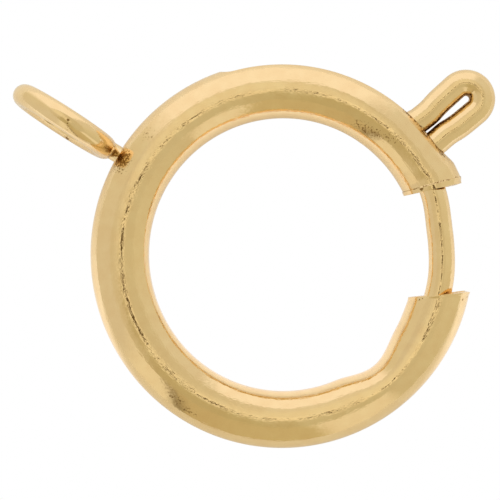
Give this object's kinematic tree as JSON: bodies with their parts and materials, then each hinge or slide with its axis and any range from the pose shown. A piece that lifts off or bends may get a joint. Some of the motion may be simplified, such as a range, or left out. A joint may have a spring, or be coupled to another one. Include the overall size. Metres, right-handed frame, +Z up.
{
  "type": "spring ring clasp",
  "caption": "Round spring ring clasp: a hollow ring with a gap, closed by a sprung wire bolt with a thumb loop, and a wire eye standing square to the ring.",
  "frame": {"origin": "on the table, straight below the centre of the ring", "axes": "+Z up from the table, 4.2 degrees from the ring's axis because the eye lifts one side; +X to the gap's side, as the picture's right; +Y as the picture's top"},
  "size_m": [0.0227, 0.0179, 0.0056],
  "materials": {
    "gold": "polished gold layer on brass, pale yellow, with fine polishing marks",
    "spring_steel": "bright drawn spring wire"
  },
  "bodies": {
    "case": {"tube": "gold", "eye": "gold", "spring": "spring_steel"},
    "bolt": {"bolt": "gold"}
  },
  "joints": [
    {"name": "bolt_retract", "type": "hinge", "parent": "case", "child": "bolt", "pos_m": [0, 0, 0.00191], "axis": [0.0618, -0.038, 0.9974], "range_deg": [0, 55], "stiffness_Nm_per_rad": 0.008, "springref_deg": -0.57, "deforming": ["spring"]}
  ]
}
